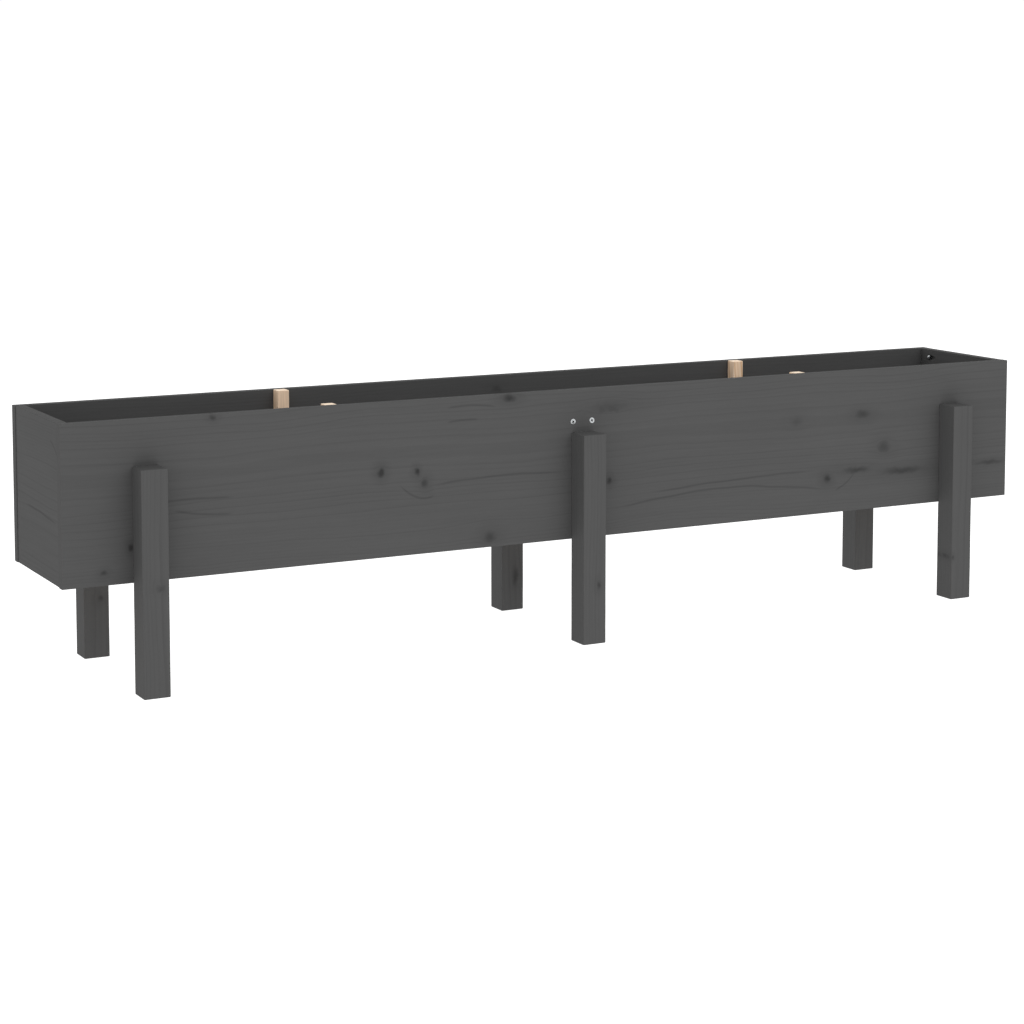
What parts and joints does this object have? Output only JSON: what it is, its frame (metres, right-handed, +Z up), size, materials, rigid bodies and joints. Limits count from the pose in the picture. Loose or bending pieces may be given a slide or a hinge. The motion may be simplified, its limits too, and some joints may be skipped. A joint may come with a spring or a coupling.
{
  "type": "raised planter on legs",
  "caption": "Long, low timber planter box with dark stained sides on square legs, with natural battens, a cross tie and a draining board floor inside.",
  "frame": {"origin": "on the ground, under the middle of the box", "axes": "+X along the box, +Y from the front long board to the rear one, +Z up"},
  "size_m": [1.6, 0.3, 0.378],
  "materials": {
    "stained_timber": "planed softwood with a matt dark grey stain, faint grain and knots",
    "natural_timber": "planed pine, unfinished",
    "zinc_plated_screw": "bright zinc plated, satin"
  },
  "bodies": {
    "root": {"long_board_front": "stained_timber", "long_board_rear": "stained_timber", "end_panel_left": "stained_timber", "end_panel_right": "stained_timber", "leg_front_left": "stained_timber", "leg_front_middle": "stained_timber", "leg_front_right": "stained_timber", "leg_rear_left": "stained_timber", "leg_rear_middle": "stained_timber", "leg_rear_right": "stained_timber", "floor_board_front": "stained_timber", "floor_board_middle": "stained_timber", "floor_board_rear": "stained_timber", "cross_tie": "stained_timber", "side_batten_front_left": "natural_timber", "side_batten_front_right": "natural_timber", "side_batten_rear_left": "natural_timber", "side_batten_rear_right": "natural_timber", "floor_bearer_left": "natural_timber", "floor_bearer_middle": "natural_timber", "floor_bearer_right": "natural_timber", "end_ledger_left": "natural_timber", "end_ledger_right": "natural_timber", "leg_screws": "zinc_plated_screw", "bearer_screws": "zinc_plated_screw", "tie_screws": "zinc_plated_screw", "batten_screws": "zinc_plated_screw", "ledger_screws": "zinc_plated_screw", "floor_screws": "zinc_plated_screw", "pocket_screws": "zinc_plated_screw"}
  },
  "joints": []
}
